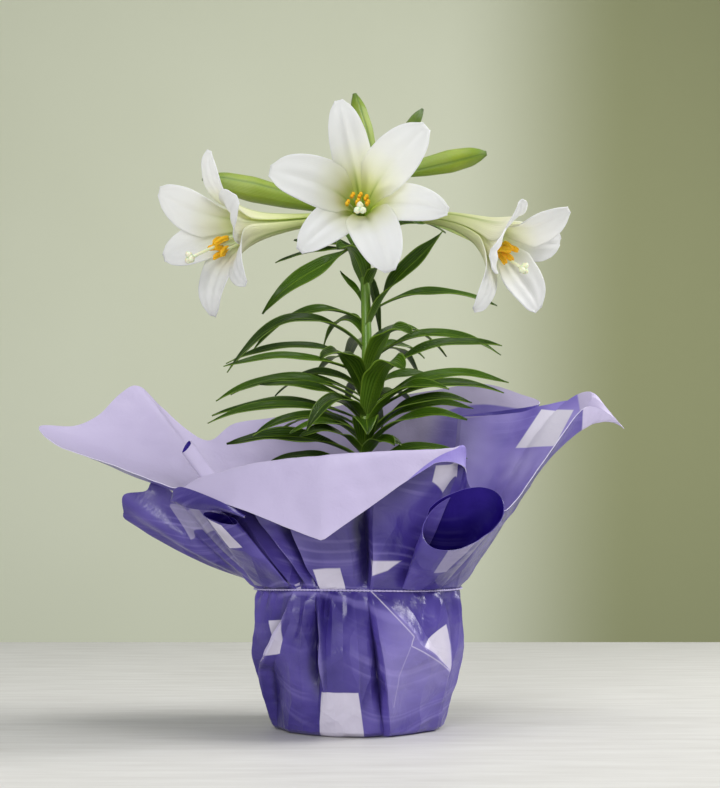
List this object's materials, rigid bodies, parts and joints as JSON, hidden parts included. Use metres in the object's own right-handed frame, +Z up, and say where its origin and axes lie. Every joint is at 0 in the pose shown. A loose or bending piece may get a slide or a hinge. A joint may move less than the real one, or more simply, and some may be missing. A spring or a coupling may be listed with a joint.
{
  "type": "potted trumpet lily",
  "caption": "Potted trumpet lily with white blooms, buds and whorled leaves, standing in soil in a nursery pot that is gathered in a flared sheet of violet florists' paper",
  "frame": {"origin": "Centre of the flat base of the wrapped pot, on the surface that it stands on", "axes": "+Z is up along the plant, +X is to the right in the picture, and -Y is the front, where the middle bloom faces"},
  "size_m": [0.4784, 0.2669, 0.518],
  "materials": {
    "wrap": "glossy violet print with soft swirls outside, matt pale lilac inside",
    "tie": "fine pale elastic string",
    "pot": "matt dark green thermoformed plastic",
    "soil": "damp peat with bark crumbs",
    "bulb": "pale overlapping scales",
    "leaf": "satin green with parallel veins",
    "petal": "soft white with a yellow-green throat",
    "stamen": "powdery orange anthers on pale green filaments",
    "bud": "satin yellow-green with darker seams"
  },
  "bodies": {
    "root": {"wrap": "wrap", "tie": "tie", "pot": "pot", "soil": "soil", "bulb": "bulb", "leafy_stem": "leaf", "bloom_front": "petal", "bloom_left": "petal", "bloom_right": "petal", "stamens_front": "stamen", "stamens_left": "stamen", "stamens_right": "stamen", "bud_left": "bud", "bud_top": "bud", "bud_right": "bud", "bud_small": "bud"}
  },
  "joints": []
}
